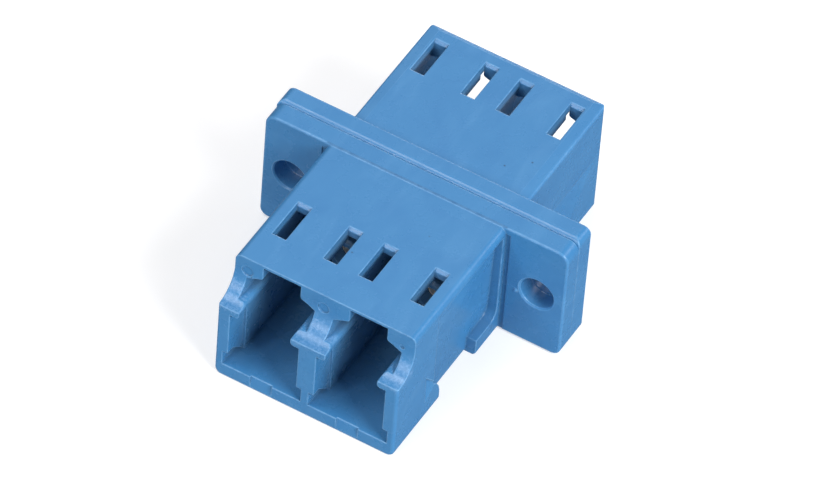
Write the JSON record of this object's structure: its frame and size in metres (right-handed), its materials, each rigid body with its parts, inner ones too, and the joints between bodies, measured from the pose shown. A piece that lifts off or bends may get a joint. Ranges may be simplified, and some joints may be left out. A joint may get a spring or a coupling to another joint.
{
  "type": "duplex fibre adapter",
  "caption": "Flanged bulkhead adapter that joins small fibre plugs end to end, with latch windows over its ports and split sleeves inside",
  "frame": {"origin": "on the flange's front face, midway between its two screw holes", "axes": "+X from the left screw hole to the right one, +Y along the plugs towards the shorter rear half, +Z towards the latch windows"},
  "size_m": [0.022, 0.0257, 0.0095],
  "materials": {
    "moulding": "semi-gloss moulded blue",
    "sleeve": "polished white ceramic"
  },
  "bodies": {
    "root": {"front_housing": "moulding", "rear_housing": "moulding", "left_split_sleeve": "sleeve", "right_split_sleeve": "sleeve"}
  },
  "joints": []
}
